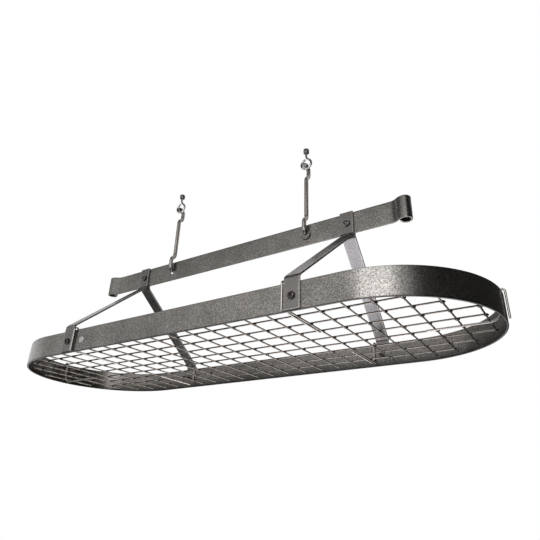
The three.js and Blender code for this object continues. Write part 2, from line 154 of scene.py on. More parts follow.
# A mid-line in a plane, of straight runs and arcs joined end to end, as points and headings. A leg is
# (run,) or (radius, turn in degrees); a positive turn bears left. No step is longer than the spacing.
def walkLine(x, y, heading, legs, spacing):
    points, headings = [np.array([[x, y]])], [np.array([heading])]
    for leg in legs:
        if len(leg) == 1:
            steps = max(1, math.ceil(leg[0] / spacing))
            along = leg[0] * np.arange(1, steps + 1) / steps
            points.append(np.stack([x + along * math.cos(heading), y + along * math.sin(heading)], 1))
            headings.append(np.full(steps, heading))
        else:
            radius, turn = leg[0], math.radians(leg[1])
            steps = max(math.ceil(abs(turn) * radius / spacing), math.ceil(abs(turn) / 0.14))
            h = heading + turn * np.arange(1, steps + 1) / steps
            bent = math.copysign(radius, turn)
            centre = np.array([x - bent * math.sin(heading), y + bent * math.cos(heading)])
            points.append(centre + bent * np.stack([np.sin(h), -np.cos(h)], 1))
            headings.append(h)
            heading += turn
        x, y = points[-1][-1]
    return np.concatenate(points), np.concatenate(headings)


# A mesh from a grid of points (along, across, xyz) in millimetres. The across direction is a closed
# loop; the along direction is closed too, or ends in flat faces, or draws in to a point by itself.
def gridFaces(rows, columns, closed, first=0):
    i = np.arange(rows if closed else rows - 1)[:, None]
    j = np.arange(columns)[None, :]
    nextI, nextJ = (i + 1) % rows, (j + 1) % columns
    quads = np.stack(np.broadcast_arrays(i * columns + j, nextI * columns + j, nextI * columns + nextJ,
                                         i * columns + nextJ), -1).reshape(-1, 4)
    return quads + first


def makeMesh(name, grids, closed=False, flatEnds=False, sharpAngle=40):
    points, faces, uvs, marks, paintedShades, count = [], [], [], [], [], 0
    for grid in grids:
        p = grid["points"]
        rows, columns = p.shape[:2]
        quads = gridFaces(rows, columns, closed, count)
        tri = np.concatenate([quads[:, [0, 1, 2]], quads[:, [0, 2, 3]]]) - count
        flat = p.reshape(-1, 3)
        volume = np.einsum("ij,ij->i", flat[tri[:, 0]], np.cross(flat[tri[:, 1]], flat[tri[:, 2]])).sum()
        turned = volume < 0  # the loop ran the other way, so its faces are turned to look outwards
        faces += (quads[:, ::-1] if turned else quads).tolist()
        if flatEnds:
            near = list(range(count, count + columns))
            far = list(range(count + (rows - 1) * columns, count + rows * columns))
            faces += [near if turned else near[::-1], far[::-1] if turned else far]
        points.append(flat)
        uvs.append(grid["uv"].reshape(-1, 2) if "uv" in grid else flat[:, :2])
        marks.append(np.broadcast_to(grid.get("mark", 0.0), (rows, columns)).reshape(-1))
        paintedShades.append(np.broadcast_to(grid.get("paintedShade", 0.0), (rows, columns)).reshape(-1))
        count += rows * columns
    all3 = np.concatenate(points) * 0.001
    all3[:, 2] -= ceilingHeight * 0.001
    mesh = bpy.data.meshes.new(name)
    mesh.from_pydata(all3.tolist(), [], faces)
    corner = np.zeros(len(mesh.loops), np.int32)
    mesh.loops.foreach_get("vertex_index", corner)
    layer = mesh.uv_layers.new(name="run")
    layer.data.foreach_set("uv", (np.concatenate(uvs) * 0.001)[corner].astype(np.float32).ravel())
    # Two attributes per point: the mark, and the share of painted shade.
    for label, values in (("mark", marks), ("paintedShade", paintedShades)):
        attribute = mesh.attributes.new(label, "FLOAT", "POINT")
        attribute.data.foreach_set("value", np.concatenate(values).astype(np.float32))
    work = bmesh.new()
    work.from_mesh(mesh)
    bmesh.ops.remove_doubles(work, verts=work.verts, dist=2e-6)
    work.to_mesh(mesh)
    work.free()
    mesh.polygons.foreach_set("use_smooth", np.ones(len(mesh.polygons), bool))
    mesh.set_sharp_from_angle(angle=math.radians(sharpAngle))
    return addObject(name, mesh)


def roundAngles(count):
    return 2 * math.pi * np.arange(count) / count


# Round wire along a plane line: radius times (cos a, sin a) across the line at each station. The ends
# are cut square and their rims drawn in along a quarter circle.
def wireGrid(points, headings, origin, axisU, axisV, s):
    radius, rim = s["radius"], s["rim"]
    u, v, o = (np.asarray(a, float) for a in (axisU, axisV, origin))
    side = np.cross(u, v)
    t = np.linspace(math.pi / 2, 0, 4)
    drawnIn = np.concatenate([[0.0], radius - rim + rim * np.cos(t)])
    setBack = np.concatenate([[0.0], rim - rim * np.sin(t)])
    middle = slice(1, -1)
    radii = np.concatenate([drawnIn, np.full(len(points) - 2, radius), drawnIn[::-1]])
    h = np.concatenate([np.full(5, headings[0]), headings[middle], np.full(5, headings[-1])])
    direction = np.stack([np.cos(h), np.sin(h)], 1)
    spots = np.concatenate([np.repeat(points[:1], 5, 0), points[middle], np.repeat(points[-1:], 5, 0)])
    spots[:5] += direction[:5] * setBack[:, None]
    spots[-5:] -= direction[-5:] * setBack[::-1][:, None]
    a = roundAngles(s["sides"])
    across = np.stack([-np.sin(h), np.cos(h)], 1)
    centre = o + spots[:, :1] * u + spots[:, 1:] * v
    normal = across[:, :1] * u + across[:, 1:] * v
    ring = normal[:, None] * np.cos(a)[None, :, None] + side[None, None] * np.sin(a)[None, :, None]
    run = np.concatenate([[0], np.cumsum(np.linalg.norm(np.diff(centre, axis=0), axis=1))])
    uv = np.stack(np.broadcast_arrays(run[:, None], (radius * a)[None, :]), -1)
    return {"points": centre[:, None] + radii[:, None, None] * ring, "uv": uv}


# The section of flat bar: a rectangle whose four corners are quarter circles. Gives the offset
# through the thickness, the offset along the width, and a mark: 1 on the corners, less on the edges.
def flatSection(s, width):
    t, ease, thickness = np.linspace(0, math.pi / 2, 4), s["ease"], s["thickness"]
    halfT, halfW = thickness / 2 - ease, width / 2 - ease
    face = np.linspace(-1, 1, s["faceSteps"] + 1)[1:-1]
    parts = []
    for turn, (signT, signW) in enumerate([(1, 1), (-1, 1), (-1, -1), (1, -1)]):
        angle = t + turn * math.pi / 2
        parts.append(np.stack([signT * halfT + ease * np.cos(angle), signW * halfW + ease * np.sin(angle),
                               np.ones(4)], 1))
        if turn % 2 == 0:
            parts.append(np.array([[0, signW * width / 2, 0.55]]))
        else:
            parts.append(np.stack([np.full(len(face), signT * thickness / 2), -face * halfW * signW,
                                   np.zeros(len(face))], 1))
    return np.concatenate(parts).T


# Dents left by a round-faced hammer: at each point the deepest of the bowls around it, where a bowl is
# 1 minus the square of the distance from its centre over its radius, and centres are jittered on a grid.
def hammerDents(run, height, cell, length, seed):
    columns, rows = max(3, round(length / cell)), 40
    jitter = np.random.default_rng(seed).random((columns, rows, 3))
    x, y = run / length * columns, height / cell + rows / 2
    deepest = np.zeros(np.broadcast(x, y).shape)
    for di in (-1, 0, 1):
        for dj in (-1, 0, 1):
            i, j = np.floor(x) + di, np.floor(y) + dj
            pick = jitter[i.astype(int) % columns, j.astype(int) % rows]
            away = (x - i - pick[..., 0]) ** 2 + (y - j - pick[..., 1]) ** 2
            deepest = np.maximum(deepest, (0.55 + 0.45 * pick[..., 2]) * (1 - away / 0.62))
    return deepest


# Flat bar along a plane line: the section is set across the line, its width along the third axis, and
# its two broad faces sink under the hammer's dents.
def barGrid(points, headings, section, s, seed, closed=False):
    through, wide, mark = section
    normal = np.stack([-np.sin(headings), np.cos(headings)], 1)
    run = np.concatenate([[0], np.cumsum(np.linalg.norm(np.diff(points, axis=0), axis=1))])
    length = run[-1] + (np.linalg.norm(points[0] - points[-1]) if closed else 0)
    r, w = run[:, None], wide[None, :]
    front, back = (hammerDents(r, w, s["dentCell"], length, seed + k) for k in (0, 1))
    share = through / np.abs(through).max()
    sink = s["dentDepth"] * np.where(share > 0, front, back) * share
    depth = through[None, :] - sink
    high = np.broadcast_to(w, depth.shape).copy()
    if not closed:  # the last few tenths of a millimetre draw in, so that the sawn ends are eased
        for end in (0, -1):
            depth[end] *= 1 - s["ease"] / np.abs(through).max()
            high[end] *= 1 - s["ease"] / np.abs(wide).max()
    plane = points[:, None] + depth[..., None] * normal[:, None]
    uv = np.stack(np.broadcast_arrays(r, w + (through[None, :] < 0) * 90.0), -1)
    return plane, high, uv, np.broadcast_to(mark[None, :], depth.shape)


# A turned form: a profile of (radius, along) pairs carried round an axis. The radius may differ with
# the angle, which gives hexagons.
def turnedGrid(radii, along, angles, origin, axis):
    radii = np.broadcast_to(radii if radii.ndim == 2 else radii[:, None], (len(along), len(angles)))
    axis = np.asarray(axis, float)
    sideA = np.array([1.0, 0, 0]) if abs(axis[0]) < 0.5 else np.array([0, 1.0, 0])
    sideB = np.cross(axis, sideA)
    ring = np.cos(angles)[:, None] * sideA + np.sin(angles)[:, None] * sideB
    stack = np.broadcast_to(along[:, None], radii.shape)
    points = np.asarray(origin, float) + radii[..., None] * ring[None] + stack[..., None] * axis
    uv = np.stack([stack, radii * 0 + angles[None, :] * 5.0], -1)
    return {"points": points, "uv": uv}


# Cuts round holes with eased rims through a piece, by booleans that are applied at once.
def drillHoles(piece, thickness, holes):
    a = roundAngles(40)
    cutters = []
    for x, y, z, radius in holes:
        half, flare, past = thickness / 2, 0.5, 4
        wide = radius + flare
        along = np.array([past, past, 0, -flare])
        along = np.concatenate([-half - along, half + along[::-1]])
        radii = np.array([0, wide + past, wide, radius])
        radii = np.concatenate([radii, radii[::-1]])
        cutters.append(turnedGrid(radii, along, a, (x, y, z), (0, 1, 0)))
    cutter = makeMesh(piece.name + "Drill", cutters)
    modifier = piece.modifiers.new("drill", "BOOLEAN")
    modifier.operation, modifier.solver, modifier.object = "DIFFERENCE", "EXACT", cutter
    depsgraph = bpy.context.evaluated_depsgraph_get()
    drilled = bpy.data.meshes.new_from_object(piece.evaluated_get(depsgraph))
    piece.modifiers.clear()
    piece.data = drilled
    drilled.name = piece.name
    bpy.data.objects.remove(cutter)


# Gives a piece its finish and its body, and hides the node that it stands in for.
def place(piece, body, slot, finish, *nodes):
    piece.data.materials.clear()
    piece.data.materials.append(steels[finish])
    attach(piece, body)
    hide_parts(*nodes)


def newGroup(name, inputs, outputs):
    group = bpy.data.node_groups.new(name, "ShaderNodeTree")
    for label, kind, value in inputs:
        socket = group.interface.new_socket(label, in_out="INPUT", socket_type="NodeSocket" + kind)
        if value is not None:
            socket.default_value = value
    for label, kind in outputs:
        group.interface.new_socket(label, in_out="OUTPUT", socket_type="NodeSocket" + kind)
    return group, group.nodes.new("NodeGroupInput"), group.nodes.new("NodeGroupOutput")


# Peened skin: small round dents and a finer grain between them, as a height and as a tone around 0.5.
def peenedGroup():
    g, i, o = newGroup("peenedSkin", [("Vector", "Vector", None), ("Dent Size", "Float", 180.0),
                                      ("Grain Size", "Float", 700.0)],
                       [("Height", "Float"), ("Tone", "Float")])
    dents = addNode(g, "TexVoronoi", feature="SMOOTH_F1", Smoothness=0.35)
    grain = addNode(g, "TexNoise", Detail=3.0, Roughness=0.65)
    for node, size in ((dents, "Dent Size"), (grain, "Grain Size")):
        g.links.new(i.outputs["Vector"], node.inputs["Vector"])
        g.links.new(i.outputs[size], node.inputs["Scale"])
    height = mathNode(g, "ADD", mathNode(g, "MULTIPLY", dents.outputs["Distance"], 0.5), grain.outputs[0])
    g.links.new(height, o.inputs["Height"])
    g.links.new(mathNode(g, "MULTIPLY", height, 0.7), o.inputs["Tone"])
    return g


# Drawn grain: long streaks along the piece's run and fine ones across, from its own run coordinates.
def drawnGroup():
    g, i, o = newGroup("drawnGrain", [("Streak", "Float", 30.0), ("Across", "Float", 1400.0)],
                       [("Height", "Float"), ("Tone", "Float")])
    uv = addNode(g, "UVMap", uv_map="run")
    stretch = addNode(g, "VectorMath", operation="MULTIPLY")
    pair = addNode(g, "CombineXYZ")
    g.links.new(i.outputs["Streak"], pair.inputs[0])
    g.links.new(i.outputs["Across"], pair.inputs[1])
    g.links.new(uv.outputs[0], stretch.inputs[0])
    g.links.new(pair.outputs[0], stretch.inputs[1])
    noise = addNode(g, "TexNoise", Scale=1.0, Detail=3.0, Roughness=0.65)
    g.links.new(stretch.outputs[0], noise.inputs["Vector"])
    g.links.new(noise.outputs[0], o.inputs["Height"])
    g.links.new(noise.outputs[0], o.inputs["Tone"])
    return g


# Handling marks: broad soft patches that change tone and gloss a little over a hand's width.
def patchGroup():
    g, i, o = newGroup("handledPatches", [("Vector", "Vector", None), ("Size", "Float", 14.0)],
                       [("Tone", "Float")])
    noise = addNode(g, "TexNoise", Detail=3.0, Roughness=0.55)
    g.links.new(i.outputs["Vector"], noise.inputs["Vector"])
    g.links.new(i.outputs["Size"], noise.inputs["Scale"])
    g.links.new(noise.outputs[0], o.inputs["Tone"])
    return g


# Marked places: the piece's own mark, broken up by noise, as a mask; worn edges on most pieces, painted
# shade on the rod's hooks and the shelf's welds, and partly a painted highlight on the straps' corners.
def markedGroup():
    g, i, o = newGroup("markedPlaces", [("Vector", "Vector", None), ("Breakup", "Float", 260.0)],
                       [("Mask", "Float")])
    mark = addNode(g, "Attribute", attribute_name="mark", attribute_type="GEOMETRY")
    noise = addNode(g, "TexNoise", Detail=3.0, Roughness=0.6)
    g.links.new(i.outputs["Vector"], noise.inputs["Vector"])
    g.links.new(i.outputs["Breakup"], noise.inputs["Scale"])
    broken = addNode(g, "MapRange", interpolation_type="SMOOTHSTEP")
    broken.inputs["From Min"].default_value, broken.inputs["From Max"].default_value = 0.3, 0.62
    g.links.new(noise.outputs[0], broken.inputs["Value"])
    g.links.new(mathNode(g, "MULTIPLY", mark.outputs["Fac"], broken.outputs[0]), o.inputs["Mask"])
    return g


groups = {"peened": peenedGroup(), "drawn": drawnGroup(), "patches": patchGroup(),
          "marked": markedGroup()}


def useGroup(tree, key, coords=None, **values):
    node = tree.nodes.new("ShaderNodeGroup")
    node.node_tree = groups[key]
    if coords is not None:
        tree.links.new(coords, node.inputs["Vector"])
    for label, value in values.items():
        node.inputs[label].default_value = value
    return node


def toned(tree, tone, dark, light, low=0.3, high=0.7):
    ramp = addNode(tree, "ValToRGB")
    ramp.color_ramp.elements[0].position, ramp.color_ramp.elements[1].position = low, high
    ramp.color_ramp.elements[0].color, ramp.color_ramp.elements[1].color = (*dark, 1), (*light, 1)
    tree.links.new(tone, ramp.inputs["Fac"])
    return ramp.outputs["Color"]


def mixColour(tree, mask, a, b, blend="MIX"):
    node = addNode(tree, "Mix", data_type="RGBA", blend_type=blend)
    for socket, value in ((node.inputs[0], mask), (node.inputs[6], a), (node.inputs[7], b)):
        if isinstance(value, (float, int)):
            socket.default_value = value
        elif isinstance(value, tuple):
            socket.default_value = (*value, 1)
        else:
            tree.links.new(value, socket)
    return node.outputs[2]


def ranged(tree, value, low, high):
    node = addNode(tree, "MapRange")
    node.inputs["From Min"].default_value, node.inputs["From Max"].default_value = 0.25, 0.75
    node.inputs["To Min"].default_value, node.inputs["To Max"].default_value = low, high
    tree.links.new(value, node.inputs["Value"])
    return node.outputs[0]


def startMaterial(name, metallic, **fixed):
    material = bpy.data.materials.new(name)
    material.use_nodes = True
    tree = material.node_tree
    shader = tree.nodes["Principled BSDF"]
    shader.inputs["Metallic"].default_value = metallic
    for label, value in fixed.items():
        shader.inputs[label].default_value = value
    coords = addNode(tree, "TexCoord").outputs["Object"]
    return material, tree, shader, coords


def addBump(tree, shader, height, distance, strength=1.0):
    bump = addNode(tree, "Bump", Strength=strength, Distance=distance)
    tree.links.new(height, bump.inputs["Height"])
    tree.links.new(bump.outputs[0], shader.inputs["Normal"])


# Hammered bar steel under clear lacquer: peened skin, patches of tone, painted shade, near black, where the
# piece's attribute for it says, and bare metal on the worn edges.
def hammeredSteel(s):
    lacquer = {"Coat Weight": s["lacquer"][0], "Coat Roughness": s["lacquer"][1]}
    material, tree, shader, coords = startMaterial("hammeredSteel", s["metallic"], **lacquer)
    skin = useGroup(tree, "peened", coords, **{"Dent Size": s["dent"], "Grain Size": s["grain"]})
    patch = useGroup(tree, "patches", coords, Size=13.0)
    markMask = useGroup(tree, "marked", coords)
    colour = toned(tree, skin.outputs["Tone"], s["dark"], s["light"], 0.32, 0.68)
    shade = toned(tree, patch.outputs["Tone"], (0.80, 0.80, 0.79), (1.14, 1.13, 1.12))
    colour = mixColour(tree, 1.0, colour, shade, "MULTIPLY")
    # Painted shade, near black, mixed in by the piece's attribute for it.
    paintedShade = addNode(tree, "Attribute", attribute_name="paintedShade", attribute_type="GEOMETRY")
    colour = mixColour(tree, paintedShade.outputs["Fac"], colour, s["paintedShade"])
    colour = mixColour(tree, markMask.outputs["Mask"], colour, s["marked"])
    tree.links.new(colour, shader.inputs["Base Color"])
    tree.links.new(ranged(tree, skin.outputs["Tone"], *s["gloss"]), shader.inputs["Roughness"])
    addBump(tree, shader, skin.outputs["Height"], s["relief"])
    return material


# Smooth bar or wire steel: drawn streaks, patches of tone, and the marked places in a tone of their own:
# worn on most pieces, painted shade on the rod's hooks and the shelf's welds, and partly a painted
# highlight on the straps' corners.
def drawnSteel(name, s):
    material, tree, shader, coords = startMaterial(name, s["metallic"])
    grain = useGroup(tree, "drawn", None, Streak=s["streak"], Across=s["across"])
    patch = useGroup(tree, "patches", coords)
    markMask = useGroup(tree, "marked", coords)
    colour = toned(tree, grain.outputs["Tone"], s["dark"], s["light"])
    shade = toned(tree, patch.outputs["Tone"], (0.84, 0.83, 0.82), (1.1, 1.1, 1.1))
    colour = mixColour(tree, 1.0, colour, shade, "MULTIPLY")
    colour = mixColour(tree, markMask.outputs["Mask"], colour, s["marked"])
    tree.links.new(colour, shader.inputs["Base Color"])
    gloss = ranged(tree, patch.outputs["Tone"], *s["gloss"])
    duller = mathNode(tree, "MULTIPLY", markMask.outputs["Mask"], s.get("markedDull", 0.0))
    tree.links.new(mathNode(tree, "ADD", gloss, duller), shader.inputs["Roughness"])
    addBump(tree, shader, grain.outputs["Height"], s["relief"], 0.6)
    return material


# Black oxide: near black with a faint brown bloom, oiled, and worn grey on raised edges.
def blackOxide(s):
    material, tree, shader, coords = startMaterial("blackOxide", s["metallic"])
    patch = useGroup(tree, "patches", coords, Size=160.0)
    fine = useGroup(tree, "peened", coords, **{"Dent Size": 900.0, "Grain Size": 2600.0})
    markMask = useGroup(tree, "marked", coords, Breakup=500.0)
    colour = toned(tree, patch.outputs["Tone"], s["dark"], s["light"])
    colour = mixColour(tree, markMask.outputs["Mask"], colour, s["marked"])
    tree.links.new(colour, shader.inputs["Base Color"])
    tree.links.new(ranged(tree, patch.outputs["Tone"], *s["gloss"]), shader.inputs["Roughness"])
    addBump(tree, shader, fine.outputs["Height"], s["relief"], 0.5)
    return material


# The last colour of the hammered finish, near black, is painted shade for the band's inner face and lower
# edge.
hammeredFinish = {"metallic": 0.985, "dent": 300.0, "grain": 560.0, "dark": (0.055, 0.052, 0.048),
                  "light": (0.34, 0.325, 0.305), "marked": (0.16, 0.155, 0.148), "gloss": (0.34, 0.27),
                  "relief": 0.00006, "lacquer": (0.25, 0.18), "paintedShade": (0.020, 0.018, 0.017)}
drawnFinishes = {
    # The straps' marked tone is lighter than their steel: worn corners, and partly a painted highlight
    # along them.
    "strapSteel": {"metallic": 0.9, "streak": 320.0, "across": 420.0, "dark": (0.11, 0.104, 0.099),
                   "light": (0.25, 0.238, 0.229), "marked": (0.34, 0.325, 0.31), "gloss": (0.20, 0.30),
                   "relief": 0.00002},
    # The rod's marked tone is painted shade, near black and duller, on its hooks.
    "rodSteel": {"metallic": 0.9, "streak": 40.0, "across": 300.0, "dark": (0.36, 0.34, 0.32),
                 "light": (0.45, 0.425, 0.40), "marked": (0.008, 0.0076, 0.007), "gloss": (0.20, 0.30),
                 "markedDull": 0.25, "relief": 0.00004},
    # The shelf's marked tone is near black and duller round the welds: heat tint, and painted shade at the
    # joints.
    "shelfWire": {"metallic": 1.0, "streak": 60.0, "across": 400.0, "dark": (0.085, 0.074, 0.066),
                  "light": (0.27, 0.238, 0.212), "marked": (0.003, 0.0027, 0.0025), "gloss": (0.09, 0.15),
                  "markedDull": 0.4, "relief": 0.00003},
    "clipWire": {"metallic": 0.95, "streak": 12.0, "across": 120.0, "dark": (0.36, 0.338, 0.315),
                 "light": (0.46, 0.432, 0.405), "marked": (0.5, 0.47, 0.45), "gloss": (0.26, 0.34),
                 "relief": 0.00001},
    "brightWire": {"metallic": 1.0, "streak": 80.0, "across": 300.0, "dark": (0.54, 0.54, 0.53),
                   "light": (0.74, 0.74, 0.73), "marked": (0.10, 0.098, 0.095), "gloss": (0.14, 0.22),
                   "relief": 0.00002},
    "collarSteel": {"metallic": 0.9, "streak": 300.0, "across": 60.0, "dark": (0.10, 0.096, 0.092),
                    "light": (0.20, 0.192, 0.185), "marked": (0.4, 0.39, 0.38), "gloss": (0.26, 0.38),
                    "relief": 0.00004},
}
blackFinish = {"metallic": 0.97, "dark": (0.035, 0.030, 0.028), "light": (0.085, 0.072, 0.067),
               "marked": (0.24, 0.205, 0.19), "gloss": (0.18, 0.30), "relief": 0.00006}
steels = {"hammeredSteel": hammeredSteel(hammeredFinish)}
for finishName, finish in drawnFinishes.items():
    steels[finishName] = drawnSteel(finishName, finish)
steels["blackOxide"] = blackOxide(blackFinish)
print("materials made")

sides = (("Left", -1), ("Right", 1))
faces = (("Front", -1), ("Back", 1))
bandShape = {"length": 1440, "width": 508, "height": 63.5, "thickness": 4.8, "ease": 0.7, "spacing": 2.7,
             "faceSteps": 24, "dentCell": 8.0, "dentDepth": 0.035, "seed": 11, "insideShadeShare": 0.17,
             "edgeShadeShare": 0.92, "shadeHeight": 40.0, "shadeFall": 1.5}
bandOuter = bandShape["width"] / 2
footX, headX, boltHole = 359.0, 377.4, 5.15
studX, studHole = -304.8, 3.3


# The band's mid-line is two straight runs and two half circles, closed, with the bar's section on edge.
def makeBand(s):
    straight, radius = (s["length"] - s["width"]) / 2, (s["width"] - s["thickness"]) / 2
    legs = [(straight,), (radius, 180), (2 * straight,), (radius, 180), (straight,)]
    points, headings = walkLine(0, -radius, 0, legs, s["spacing"])
    section = flatSection(s, s["height"])
    plane, high, uv, mark = barGrid(points[:-1], headings[:-1], section, s, s["seed"], closed=True)
    # Painted shade darkens the inner face, more towards the lower edge, and fills the lower edge, which has
    # no worn
    # marks: its share rises from the inside's to the edge's as a power of the nearness to that edge.
    lower = section[1] < -(s["height"] / 2 - s["ease"] - 0.01)
    nearness = np.clip(1 - (section[1] + s["height"] / 2) / s["shadeHeight"], 0, 1)
    inner = s["insideShadeShare"] + (s["edgeShadeShare"] - s["insideShadeShare"]) * nearness ** s["shadeFall"]
    paintedShade = np.where(lower, s["edgeShadeShare"], np.where(section[0] > 0, inner, 0.0))
    grid = {"points": np.dstack([plane, high + s["height"] / 2]), "uv": uv,
            "mark": np.where(lower[None, :], 0.0, mark), "paintedShade": paintedShade[None, :]}
    piece = makeMesh("rimBand", [grid], closed=True)
    middle = s["height"] / 2
    holes = [(side * footX, face * radius, middle, boltHole)
             for side in (-1, 1) for face in (-1, 1)]
    holes.append((studX, -radius, middle, studHole))
    drillHoles(piece, s["thickness"], holes)
    place(piece, "rack", "hammered_steel", "hammeredSteel", "rim_band")


makeBand(bandShape)
print("band made")

barShape = {"height": 63.5, "thickness": 4.8, "bottom": 293, "scrollRadius": 13.6, "scrollX": 536,
            "leadIn": 38, "scrollTurn": 285, "ease": 0.7, "spacing": 2.6, "faceSteps": 24, "dentCell": 8.0,
            "dentDepth": 0.035, "seed": 29, "hangX": 252, "hangRadius": 9.5}
barMiddle = barShape["bottom"] + barShape["height"] / 2


# The bar's mid-line runs straight, swings out by a scroll's radius in a shallow S, and rolls back on
# itself. One half is mirrored for the other end.
def makeCentreBar(s):
    swing = 2 * math.atan2(s["scrollRadius"], s["leadIn"])
    bend, turn = s["leadIn"] / 2 / math.sin(swing), math.degrees(swing)
    legs = [(s["scrollX"] - s["leadIn"],), (bend, -turn), (bend, turn),
            (s["scrollRadius"], s["scrollTurn"] - 3), (s["ease"],)]
    points, headings = walkLine(0, 0, 0, legs, s["spacing"])
    points = np.concatenate([(points * (-1, 1))[:0:-1], points])
    headings = np.concatenate([-headings[:0:-1], headings])
    section = flatSection(s, s["height"])
    plane, high, uv, mark = barGrid(points, headings, section, s, s["seed"])
    grid = {"points": np.dstack([plane, high + barMiddle]), "uv": uv, "mark": mark}
    piece = makeMesh("centreBar", [grid], flatEnds=True)
    holes = (s["hangX"], s["hangRadius"]), (headX, boltHole)
    drillHoles(piece, s["thickness"], [(side * x, 0, barMiddle, radius) for x, radius in holes
                                       for side in (-1, 1)])
    place(piece, "rack", "hammered_steel", "hammeredSteel", "centre_bar")


makeCentreBar(barShape)
print("centre bar made")

strapShape = {"width": 38.1, "thickness": 4.8, "footBottom": 2.5, "headTop": 358.9, "footBend": 76.0,
              "headBend": 287.0, "bendRadius": 13.0, "footY": 256.7, "headY": 5.1, "ease": 0.8,
              "spacing": 5.0, "faceSteps": 10, "dentCell": 22.0, "dentDepth": 0.1}


# The strap's mid-line, seen from the rack's end, is an upright foot, a slanting run and an upright head,
# joined by two arcs, each set back from where the straight runs would meet.
def makeStrap(s, sideName, side, faceName, face, seed):
    rise, inwards = s["headBend"] - s["footBend"], s["footY"] - s["headY"]
    bend = math.pi / 2 - math.atan2(rise, inwards)
    setback = s["bendRadius"] * math.tan(bend / 2)
    slant = math.hypot(rise, inwards) - 2 * setback
    turn = math.degrees(bend)
    legs = [(s["ease"],), (s["footBend"] - s["footBottom"] - setback - s["ease"],), (s["bendRadius"], turn),
            (slant,), (s["bendRadius"], -turn), (s["headTop"] - s["headBend"] - setback - s["ease"],),
            (s["ease"],)]
    points, headings = walkLine(s["footY"], s["footBottom"], math.pi / 2, legs, s["spacing"])
    section = flatSection(s, s["width"])
    plane, across, uv, mark = barGrid(points, headings, section, s, seed)
    away, height = plane[..., 0], plane[..., 1]
    # Between its two bends the strap leans outwards along the rack, in step with its height.
    lean = np.clip((height - s["footBend"]) / rise, 0, 1) * (headX - footX)
    x = side * (footX + lean) + across
    grid = {"points": np.dstack([x, face * away, height]), "uv": uv, "mark": mark}
    piece = makeMesh("strap" + faceName + sideName, [grid], flatEnds=True)
    drillHoles(piece, s["thickness"], [
        (side * footX, face * s["footY"], bandShape["height"] / 2, boltHole),
        (side * headX, face * s["headY"], barMiddle, boltHole)])
    node = "strap_" + faceName.lower() + "_" + sideName.lower()
    place(piece, "rack", "strap_steel", "strapSteel", node)


strapSeed = 40
for sideName, side in sides:
    for faceName, face in faces:
        makeStrap(strapShape, sideName, side, faceName, face, strapSeed)
        strapSeed += 2
print("straps made")

boltShape = {"radius": 4.75, "headRadius": 8.75, "headHeight": 5.0, "headRim": 0.75, "crown": 4.5,
             "socket": 6.0, "socketDepth": 3.0, "pastNut": 2.0, "chamfer": 1.0, "pitch": 1.6,
             "threadDepth": 0.55, "sides": 72}
nutShape = {"across": 14.3, "height": 8.4, "bore": 5.05, "turned": 0.6, "sides": 96}
studShape = {"radius": 9.8, "crown": 2.0, "rim": 0.6, "shank": 3.0, "tail": 5.0, "tailHeight": 2.0,
             "sides": 64}
seatGap = 0.3


# The distance from the centre to the side of a hexagon at each angle: half its width over the cosine
# of the angle from the nearest flat.
def hexagonRadius(angles, across):
    step = math.pi / 3
    return across / 2 / np.cos((angles + step / 2) % step - step / 2)


# A button-head bolt from its socket's floor round the dome to the thread's end: rows of a radius at each
# angle and one distance along the axis from the head's seat.
def makeBolt(s, name, grip, x, y, z, drive, node):
    a = roundAngles(s["sides"])
    hexagon = hexagonRadius(a, s["socket"])
    end = grip + nutShape["height"] + s["pastNut"]
    t = np.linspace(0, math.pi / 2, 9)
    top, rim, ring = -s["headHeight"], s["headRadius"], 0 * a
    dome = s["headHeight"] - s["headRim"]
    domeRadius = s["crown"] + (rim - s["crown"]) * np.sin(t)
    thread = np.arange(grip - 0.2, end - s["chamfer"], s["pitch"] / 8)
    rows = [(ring, top + s["socketDepth"] + 0.8), (hexagon * 0.55, top + s["socketDepth"]),
            (hexagon * 0.985, top + s["socketDepth"]), (hexagon, top + 0.25), (hexagon + 0.25, top)]
    rows += [(ring + r, -s["headRim"] - dome * math.cos(k)) for r, k in zip(domeRadius, t)]
    rows += [(ring + rim, -0.15), (ring + rim - 0.15, 0.0), (ring + s["radius"], 0.0)]
    # The thread winds round: its depth is a triangle wave of the height over the pitch less the turn.
    wave = (thread[:, None] / s["pitch"] - a[None, :] / (2 * math.pi)) % 1
    cut = s["radius"] - s["threadDepth"] * np.abs(2 * wave - 1)
    rows += list(zip(cut, thread))
    rows += [(ring + s["radius"] - s["threadDepth"], end - s["chamfer"] * 0.8),
             (ring + s["radius"] - s["chamfer"], end), (ring, end)]
    radii, along = np.stack([r for r, _ in rows]), np.array([float(h) for _, h in rows])
    grid = turnedGrid(radii, along, a, (x, y, z), (0, drive, 0))
    worn = (along > top + 0.1) & (along < -0.05) & (np.abs(along - top - 0.4) < 0.5)
    grid["mark"] = np.where(worn, 0.5, 0.0)[:, None]
    place(makeMesh(name, [grid], sharpAngle=38), "rack", "black_fastener", "blackOxide", node)


# A hexagon nut whose corners are turned down: no point stands further out than a cone that opens from
# either face, and the bore closes the loop from face to face.
def makeNut(s, name, x, y, z, drive, node):
    a = roundAngles(s["sides"])
    flat, corner = s["across"] / 2, s["across"] / math.sqrt(3)
    chamfer = (corner - flat) * s["turned"]
    up = np.concatenate([[0.0], np.linspace(0, chamfer, 5)])
    along = np.concatenate([[0.5], up, s["height"] - up[::-1], [s["height"] - 0.5]])
    cone = flat * 0.985 + (corner - flat + 0.12) * np.minimum(along, s["height"] - along) / chamfer
    radii = np.minimum(hexagonRadius(a, s["across"])[None, :], cone[:, None])
    radii[[0, -1]] = s["bore"]
    radii[[1, -2]] = s["bore"] + 0.5
    grid = turnedGrid(radii, along, a, (x, y, z), (0, drive, 0))
    grid["mark"] = np.clip((radii - flat) * 1.2, 0, 0.7)
    piece = makeMesh(name, [grid], closed=True, sharpAngle=30)
    place(piece, "rack", "black_fastener", "blackOxide", node)


